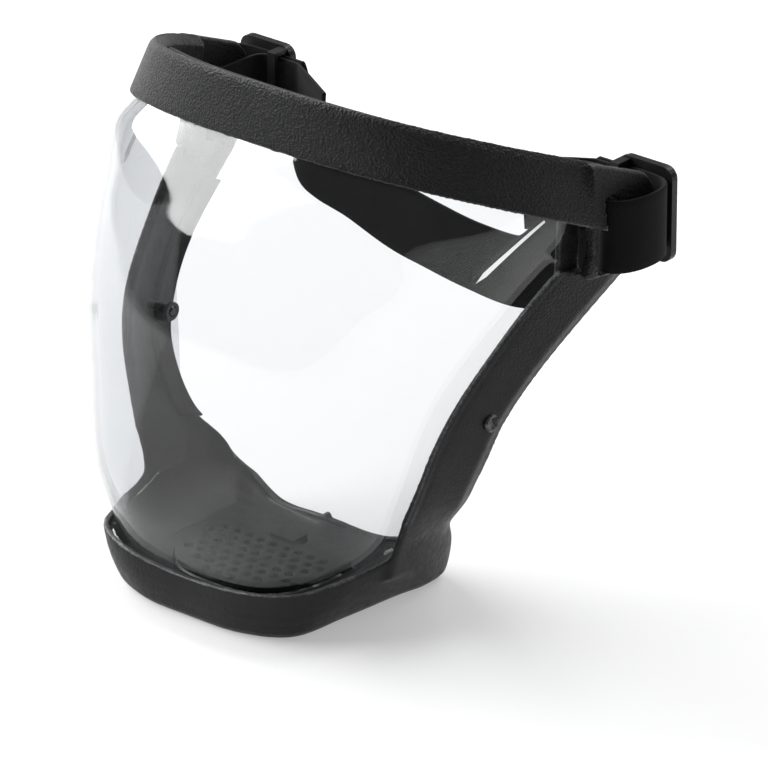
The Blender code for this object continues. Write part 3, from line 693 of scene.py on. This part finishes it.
def chamber_floor():
    """Perforated plate that closes the bottom of the filter chamber."""
    ring = chamber_ring(closed_outline([(x, y, 0.0) for x, y in CUP_FLOOR], CUP_RING), 0.0)
    ring = inset_ring(ring, 0.05)
    rings = [ring, ring + [0, 0, CHAMBER_FLOOR_Z]]
    plate = ring_solid("chamber_floor", rings, closed=False)
    bm = bmesh.new()
    for r in range(5):
        for c in range(-3, 4):
            x = (c + 0.5 * (r % 2)) * HOLE_PITCH
            y = HOLE_FIRST_Y + r * HOLE_ROW_PITCH
            if abs(x) > 22.5 - 5.5 * (r == 0) * (abs(x) > 12):
                continue
            place = Matrix.Translation((x * MM, y * MM, 1.0 * MM))
            bmesh.ops.create_cone(
                bm, cap_ends=True, segments=20, radius1=HOLE_RADIUS * MM, radius2=HOLE_RADIUS * MM,
                depth=6 * MM, matrix=place)
    mesh = bpy.data.meshes.new("holes")
    bm.to_mesh(mesh)
    bm.free()
    cutter = bpy.data.objects.new("holes", mesh)
    bpy.context.scene.collection.objects.link(cutter)
    cut = plate.modifiers.new("Holes", "BOOLEAN")
    cut.operation = "DIFFERENCE"
    cut.object = cutter
    apply_modifiers(plate)
    bpy.data.objects.remove(cutter)
    return shade(plate)


# ---------------------------------------------------------------- visor

def lens_rows():
    """Outer surface of the visor from the ledge in the cup up to the band's lower edge."""
    columns = np.linspace(-math.pi / 2, math.pi / 2, LENS_COLUMNS + 1)
    centre, end = smooth(LENS_CENTRE, LENS_ROWS), smooth(LENS_END, LENS_ROWS)
    power = smooth(LENS_POWER, LENS_ROWS)[:, 0]
    rows = []
    for (cy, cz), (ex, ey, ez), n in zip(centre, end, power):
        row = []
        for angle in columns:
            x, back = superellipse(ex, ey - cy, n, angle)
            row.append((x, cy + back, cz + (ez - cz) * back / (ey - cy)))
        rows.append(row)
    rows = np.array(rows)
    foot, head = lens_foot(), lens_head()
    for level in range(LENS_ROWS):
        low = max(0.0, 1 - level / 4.5) ** 1.5
        high = max(0.0, 1 - (LENS_ROWS - 1 - level) / 3.5) ** 1.5
        row = arc_resample(rows[level], LENS_COLUMNS + 1)
        rows[level] = row + (foot - row) * low + (head - row) * high
    return rows


def lens_foot():
    """Line in the cup's ledge where the visor stands."""
    ring = closed_outline(CUP_TOP, CUP_RING)
    close = inset_ring(ring, CUP_RIM + LENS_FOOT_GAP, CUP_LEDGE + 0.4)
    tucked = inset_ring(ring, CUP_RIM + LENS_FOOT_TUCK, CUP_LEDGE - 0.6)
    count = int(CUP_RING * 16 / 56) + 1
    part = np.clip((ring[:count, 1] + 60.0) / 28.0, 0.0, 1.0)[:, None]
    half = close[:count] + (tucked[:count] - close[:count]) * part
    whole = np.vstack([half[:0:-1] * [-1, 1, 1], half])
    return arc_resample(whole, LENS_COLUMNS + 1)


def lens_head():
    """Line under the band where the visor ends."""
    stop = band_end_angle(BAND_LOW, LENS_HEAD_END_Y)
    row = []
    for angle in np.linspace(-stop, stop, 241):
        y = band_edge(BAND_LOW, angle)[1]
        part = min(max((y + 24.0) / 44.0, 0.0), 1.0)
        x, y, _ = band_edge(BAND_LOW, angle, LENS_HEAD_INSET + LENS_HEAD_TUCK * part)
        row.append((x, y, band_height(BAND_LOW, y) + LENS_HEAD_LIFT))
    return arc_resample(row, LENS_COLUMNS + 1)


def fitted(line):
    """Quadratic curve fitted to a line of points."""
    run = np.linspace(0, 1, len(line))
    return np.array([np.polyval(np.polyfit(run, axis, 2), run) for axis in np.array(line).T]).T


def painted_highlight_on_visor(rows, sign):
    """Narrow raised strip where the visor's face turns into its side, from the band downwards, coloured white
    and glowing as a painted highlight.
    """
    normals = grid_normals(rows, (0, -500, 80))
    surface, facing = rows.reshape(-1, 3), normals.reshape(-1, 3)
    strip = []
    for y, z in smooth(CREASE, CREASE_STEPS):
        gap = (surface[:, 1] - y) ** 2 + (surface[:, 2] - z) ** 2 + 1e6 * (surface[:, 0] * sign < 10)
        near = np.argsort(gap)[:4]
        weight = 1 / (gap[near] + 0.05)
        weight /= weight.sum()
        strip.append((weight @ surface[near], weight @ facing[near]))
    points, out = [fitted(line) for line in zip(*strip)]
    along = np.gradient(points, axis=0)
    side = np.cross(along, out)
    side /= np.linalg.norm(side, axis=1)[:, None]
    widening = np.linspace(0.5, 1.3, CREASE_STEPS)
    closing = np.clip(np.linspace(8, 0, CREASE_STEPS), 0, 1)
    taper = CREASE_WIDTH * (widening * closing)[:, None] / 2
    lower, upper = points + out * 0.02 - side * taper, points + out * 0.02 + side * taper
    ridge = points + out * 0.16
    rings = [[a, r, b, p] for a, r, b, p in zip(lower, ridge, upper, points - out * 0.1)]
    return shade(ring_solid("strip_of_highlight", rings, closed=False), 70)


# ---------------------------------------------------------------- webbing

def ribbon(name, path, width, thickness, rounding=0.5):
    """Flat webbing along a path of (point, width direction), with soft edges and UVs in metres."""
    # The corners' points run in order round the section, so that it doesn't cross itself.
    section = []
    for across, depth in ((-1, -1), (-1, 1), (1, 1), (1, -1)):
        for turn in (0.25, 0.75):
            angle = math.radians(90 * turn)
            lean = rounding * thickness * np.array([1 - math.sin(angle), 1 - math.cos(angle)])
            if across * depth < 0:
                lean = lean[::-1]
            section.append((across * (width / 2 - lean[0]), depth * (thickness / 2 - lean[1] * 0.6)))
    flat = []
    for k in range(len(section)):
        a, b = np.array(section[k]), np.array(section[(k + 1) % len(section)])
        steps = 10 if np.linalg.norm(b - a) > width / 2 else 1
        flat += [a + (b - a) * s / steps for s in range(steps)]
    points = np.array([p for p, _ in path])
    tangents = np.gradient(points, axis=0)
    tangents /= np.linalg.norm(tangents, axis=1)[:, None]
    rings = []
    for (point, wide), tangent in zip(path, tangents):
        held = min(max((abs(point[0]) - WEB_HOLD_X[0]) / (WEB_HOLD_X[1] - WEB_HOLD_X[0]), 0.0), 1.0)
        wide = wide - tangent * np.dot(wide, tangent) * (1 - held)
        wide /= np.linalg.norm(wide)
        out = np.cross(wide, tangent)
        out /= np.linalg.norm(out)
        rings.append([point + wide * w + out * t for w, t in flat])
    obj = ring_solid(name, rings, closed=False)
    run = np.r_[0, np.cumsum(np.linalg.norm(np.diff(points, axis=0), axis=1))] * MM
    layer = obj.data.uv_layers.new(name="Ribbon")
    count = len(flat)
    for loop in obj.data.loops:
        ring, k = divmod(loop.vertex_index, count)
        layer.data[loop.index].uv = (run[ring], flat[k][0] * MM)
    return shade(obj, 50)


def webbing_path(sign):
    """Middle of one side's webbing: half the run, round the post, and back to the cut end."""
    run = smooth(WEB_RUN, 121)
    half = run[:61] if sign > 0 else run[60:][::-1]
    path = []
    for x, y, z, tilt in half[::-1]:
        lean = math.radians(tilt)
        path.append((np.array([x, y, z]), np.array([math.sin(lean), 0, math.cos(lean)])))
    upright = np.array([0.0, 0.0, 1.0])
    for x, y in smooth(WEB_LOOP, 97)[1:]:
        path.append((np.array([sign * x, y, WEB_MID_Z]), upright))
    x0, y0 = WEB_LOOP[-1]
    for part in np.linspace(0.08, 1, 12):
        lean = -sign * math.radians(TAIL_TILT * part)
        point = (
            sign * (x0 - 0.5 - TAIL_LENGTH * part), y0 - 0.4 - TAIL_LEAN * part,
            WEB_MID_Z - TAIL_DROP * part**1.5)
        path.append((np.array(point), np.array([math.sin(lean), 0, math.cos(lean)])))
    return path


def seal(side, sign):
    """Soft lip inside the arm's rear edge."""
    section = [(0.70, -1.9), (0.80, -2.3), (0.88, -3.0), (0.94, -3.6), (0.98, -4.0)]
    front, rear = smooth(ARM_FRONT[1:-1], 61), smooth(ARM_REAR[1:-1], 61)
    rows = []
    for f, r in list(zip(front, rear))[9:-4]:
        across = r - f
        normal = np.cross(ARM_UP, across)
        normal *= math.copysign(1.0, normal[0]) / np.linalg.norm(normal)
        row = [f + across * part + normal * out for part, out in section]
        rows.append([(sign * p[0], p[1], p[2]) for p in row])
    piece = shell(f"seal_{side}", rows, 1.6, (sign * 500, 0, 60))
    round_edges(piece, 0.5, 3)
    return shade(apply_modifiers(piece), 60)


def brow_cushion():
    """Foam pad inside the band, thickest in the middle of its height."""
    half = math.radians(38.0)
    rows = []
    for level in np.linspace(0.12, 0.58, 9):
        row = []
        for angle in np.linspace(-half, half, 61):
            top = band_edge(BAND_TOP, angle, BAND_WALL + 0.5)
            low = band_edge(BAND_LOW, angle, BAND_WALL + 0.5)
            row.append(top + (low - top) * level)
        rows.append(row)
    rows = np.array(rows)
    crown = np.sin(np.linspace(0.12, math.pi - 0.12, 9))[:, None] ** 0.5
    ends = np.minimum(1.0, np.minimum(np.arange(61), np.arange(60, -1, -1)) / 4.0 + 0.35)[None, :]
    piece = shell("brow_cushion", rows, (5.0 * crown * ends)[..., None], (0, -500, 160))
    return shade(piece, 70)


def filter_cushion():
    """White felt filter with a stitched border, in the chamber under the grille."""
    middle = np.array([0.0, -39.0])
    outline = chamber_ring(closed_outline([(x, y, 0.0) for x, y in CUP_FLOOR], 160), 0.0)[:, :2]
    rings = []
    profile = [
        (0.97, 2.7), (0.985, 3.4), (0.97, 4.6), (0.92, 5.3), (0.885, 4.9), (0.85, 5.6), (0.6, 5.95), (0.25, 6.0),
    ]
    rings.append([(*(middle + (p - middle) * 0.9), 2.55) for p in outline])
    for scale, z in profile:
        rings.append([(*(middle + (p - middle) * scale), z) for p in outline])
    return shade(ring_solid("filter_cushion", np.array(rings), closed=False), 60)


def lathe(name, profile, centre, axis, turns=48):
    """Turned shape: profile of (distance along the axis, radius), from end to end."""
    rings = []
    basis = Vector(axis).to_track_quat("Z", "Y").to_matrix()
    for along, radius in profile:
        ring = []
        for k in range(turns):
            angle = 2 * math.pi * k / turns
            local = Vector((radius * math.cos(angle), radius * math.sin(angle), along))
            ring.append(tuple(Vector(centre) + basis @ local))
        rings.append(ring)
    return shade(ring_solid(name, rings, closed=False), 35)


def rivet(side, sign):
    """Hollow rivet through arm and visor: a rolled head round a dimple, and its shank."""
    low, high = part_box(f"lens_rivet_{side}")
    y, z = (low[1] + high[1]) / 2 / MM, (low[2] + high[2]) / 2 / MM
    outer = (high[0] if sign > 0 else low[0]) / MM
    length = (high[0] - low[0]) / MM
    profile = [
        (-0.6, 0.05), (-0.6, 1.3), (-0.25, 1.9), (-0.02, 2.4), (-0.05, 2.75), (-0.35, 3.1), (-0.75, 3.2),
        (-1.1, 3.15), (-1.2, 1.5), (-length + 0.3, 1.45), (-length, 1.2), (-length, 0.05),
    ]
    return lathe(f"rivet_{side}", profile[::-1], (outer, y, z), (sign, 0, 0))


# ---------------------------------------------------------------- pieces

# The frame's paler rims are partly rubbed edges and partly a painted highlight.
moulded = moulded_plastic("frame_moulded", rgb(0.005, 0.0051, 0.0058), rgb(0.011, 0.0113, 0.0124), wear_and_highlight=0.8)
frame_piece = moulding()
frame_piece.data.materials.clear()
frame_piece.data.materials.append(moulded)
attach(frame_piece, "frame")
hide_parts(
    "brow_band", "temple_left", "temple_right", "side_arm_left", "side_arm_right", "chin_cup")

floor_plate = chamber_floor()
floor_plate.data.materials.append(moulded)
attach(floor_plate, "frame")

lens_grid = lens_rows()
visor = shade(shell("visor", lens_grid, LENS_WALL, (0, -500, 80)), 50)
visor.data.materials.append(clear_sheet("visor_polycarbonate"))
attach(visor, "frame")
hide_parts("visor_lens")

# Painted highlight: a white, slightly glowing strip along the visor's fold stands in for the bright reflection
# there.
highlight_paint = foam("visor_painted_highlight", rgb(0.8, 0.81, 0.82), rgb(0.92, 0.93, 0.94), 2000.0, 0.00005)
highlight_emission = highlight_paint.node_tree.nodes["Principled BSDF"].inputs
highlight_emission["Emission Color"].default_value = rgb(1.0, 1.0, 1.0)
highlight_emission["Emission Strength"].default_value = 0.3
for side, sign in SIDES:
    strip_of_highlight = painted_highlight_on_visor(lens_grid, sign)
    strip_of_highlight.name = f"visor_painted_highlight_{side}"
    strip_of_highlight.data.materials.append(highlight_paint)
    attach(strip_of_highlight, "frame")

web = woven("elastic_webbing", rgb(0.0025, 0.0027, 0.0029), rgb(0.010, 0.0102, 0.0107))
for side, sign in SIDES:
    path = webbing_path(sign)
    split = next(k for k, (point, _) in enumerate(path) if abs(point[0]) > WEB_SPLIT_X)
    loop = ribbon(f"webbing_loop_{side}", path[split:], WEB_WIDTH, WEB_THICKNESS)
    loop.data.materials.append(web)
    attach(loop, "frame")
    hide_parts(f"strap_loop_{side}", f"strap_tail_{side}")
    strap = ribbon(f"webbing_{side}", path[:split + 1], WEB_WIDTH, WEB_THICKNESS)
    strap.data.materials.append(web)
    if sign > 0:
        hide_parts("rear_strap")
    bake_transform(strap)

rubber = foam("seal_skin", rgb(0.007, 0.007, 0.0075), rgb(0.014, 0.014, 0.015), 1500.0, 0.00015)
blackened = steel("rivet_black", rgb(0.03, 0.03, 0.032), rgb(0.16, 0.16, 0.165))
nylon = moulded_plastic("washer_grey", rgb(0.05, 0.05, 0.052), rgb(0.075, 0.075, 0.078), 0.15)
satin = moulded_plastic(
    "slide_satin", rgb(0.008, 0.0082, 0.0086), rgb(0.014, 0.0145, 0.015), 0.15, (0.3, 0.42), 2200.0)
for side, sign in SIDES:
    lip = seal(side, sign)
    lip.data.materials.append(rubber)
    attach(lip, "frame")
    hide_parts(f"face_seal_{side}")
    pin = rivet(side, sign)
    pin.data.materials.append(blackened)
    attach(pin, "frame")
    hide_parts(f"lens_rivet_{side}")
    round_edges(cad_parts[f"rivet_washer_{side}"], 0.2).material_slots[0].material = nylon
    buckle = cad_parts[f"slide_buckle_{side}"]
    round_edges(buckle, 0.55, 3).material_slots[0].material = satin

pad = brow_cushion()
pad.data.materials.append(foam("cushion_foam", rgb(0.008, 0.008, 0.0085), rgb(0.02, 0.02, 0.021)))
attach(pad, "frame")
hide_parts("brow_pad")

felt = filter_cushion()
felt.data.materials.append(foam("filter_white", rgb(0.62, 0.62, 0.60), rgb(0.85, 0.85, 0.83), 1200.0, 0.0002))
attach(felt, "frame")
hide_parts("filter_pad")

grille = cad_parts["vent_grille"]
grille_skin = moulded_plastic("grille_moulded", rgb(0.001, 0.0018, 0.0016), rgb(0.003, 0.0042, 0.004), 0.2)
round_edges(grille, 0.25, 2, 50).material_slots[0].material = grille_skin


# ---------------------------------------------------------------- studio

def studio_floor():
    """Plain white floor just under the cup."""
    bm = bmesh.new()
    bmesh.ops.create_grid(bm, x_segments=1, y_segments=1, size=6.0)
    mesh = bpy.data.meshes.new("studio_floor")
    bm.to_mesh(mesh)
    bm.free()
    obj = bpy.data.objects.new("studio_floor", mesh)
    obj.location.z = -0.0002
    bpy.context.scene.collection.objects.link(obj)
    n = Nodes("studio_white")
    n.shader.inputs["Base Color"].default_value = rgb(0.5, 0.5, 0.5)
    n.shader.inputs["Emission Color"].default_value = rgb(1.0, 1.0, 1.0)
    n.shader.inputs["Emission Strength"].default_value = 0.37
    n.shader.inputs["Roughness"].default_value = 0.9
    n.shader.inputs["Specular IOR Level"].default_value = 0.1
    mesh.materials.append(n.material)


def lamp(name, azimuth, elevation, distance, size, power, aim=(0.0, -0.01, 0.08)):
    """Soft box at a direction from the object, azimuth 0 being straight ahead of the visor."""
    light = bpy.data.lights.new(name, "AREA")
    light.shape = "RECTANGLE"
    light.size, light.size_y = size
    light.energy = power
    obj = bpy.data.objects.new(name, light)
    az, el = math.radians(azimuth), math.radians(elevation)
    away = Vector((math.sin(az) * math.cos(el), -math.cos(az) * math.cos(el), math.sin(el)))
    obj.location = Vector(aim) + away * distance
    obj.rotation_euler = away.to_track_quat("Z", "Y").to_euler()
    bpy.context.scene.collection.objects.link(obj)
    return obj


def world_light(strength):
    """Even pale surround."""
    world = bpy.data.worlds.new("studio")
    world.use_nodes = True
    world.node_tree.nodes["Background"].inputs["Color"].default_value = rgb(1.0, 1.0, 1.0)
    world.node_tree.nodes["Background"].inputs["Strength"].default_value = strength
    bpy.context.scene.world = world


def camera():
    """Long lens, three quarters from the front and above."""
    data = bpy.data.cameras.new("camera")
    data.lens = CAMERA_LENS
    data.sensor_width = 36.0
    data.clip_end = 50.0
    obj = bpy.data.objects.new("camera", data)
    az, el = math.radians(CAMERA_AZIMUTH), math.radians(CAMERA_ELEVATION)
    away = Vector((math.sin(az) * math.cos(el), -math.cos(az) * math.cos(el), math.sin(el)))
    obj.location = Vector(CAMERA_TARGET) + away * CAMERA_DISTANCE
    obj.rotation_euler = away.to_track_quat("Z", "Y").to_euler()
    bpy.context.scene.collection.objects.link(obj)
    bpy.context.scene.camera = obj


studio_floor()
world_light(0.2)
lamp("softbox_top", 180, 52, 3.0, (1.9, 1.0), 45)
lamp("softbox_left", -78, 34, 2.7, (4.0, 1.2), 185)
lamp("softbox_right", 150, 42, 2.7, (1.6, 1.2), 10)
camera()
bpy.context.scene.view_settings.view_transform = "Standard"
